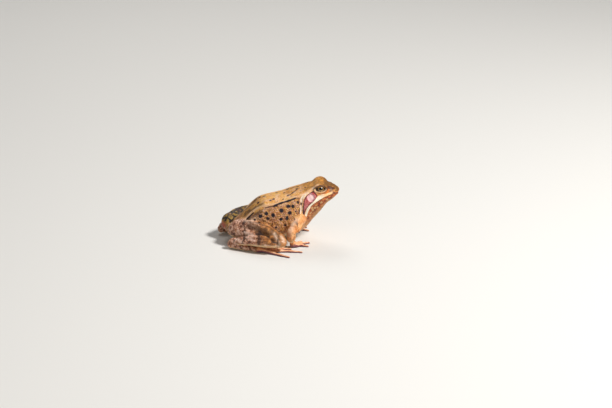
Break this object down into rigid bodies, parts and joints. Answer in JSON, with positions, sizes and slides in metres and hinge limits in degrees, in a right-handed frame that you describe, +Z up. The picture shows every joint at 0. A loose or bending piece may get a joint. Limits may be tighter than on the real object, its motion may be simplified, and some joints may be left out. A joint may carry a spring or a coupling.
{
  "type": "common frog model",
  "caption": "Life-size still model of a common frog, sitting upright with folded hind legs, webbed toes and its head turned slightly to its right.",
  "frame": {"origin": "middle of the footprint on the floor under the frog", "axes": "+X from the vent towards the snout, +Y to the frog's left, +Z up"},
  "size_m": [0.0782, 0.0748, 0.0395],
  "materials": {
    "skin": "moist ochre skin with dark spots and fine warts",
    "throat": "moist mottled red-brown and cream skin",
    "limb": "moist brown skin with dark cross bars",
    "foot": "moist thin skin, darker on the webs",
    "eye": "wet gloss, gold iris and dark level pupil",
    "eardrum": "thin taut skin, slightly glossy"
  },
  "bodies": {
    "root": {"torso": "skin", "head": "skin", "lower_jaw": "throat", "eye_right": "eye", "ear_right": "eardrum", "upper_arm_right": "limb", "forearm_right": "limb", "hand_right": "foot", "thigh_right": "limb", "shank_right": "limb", "tarsus_right": "foot", "foot_right": "foot", "eye_left": "eye", "ear_left": "eardrum", "upper_arm_left": "limb", "forearm_left": "limb", "hand_left": "foot", "thigh_left": "limb", "shank_left": "limb", "tarsus_left": "foot", "foot_left": "foot"}
  },
  "joints": []
}
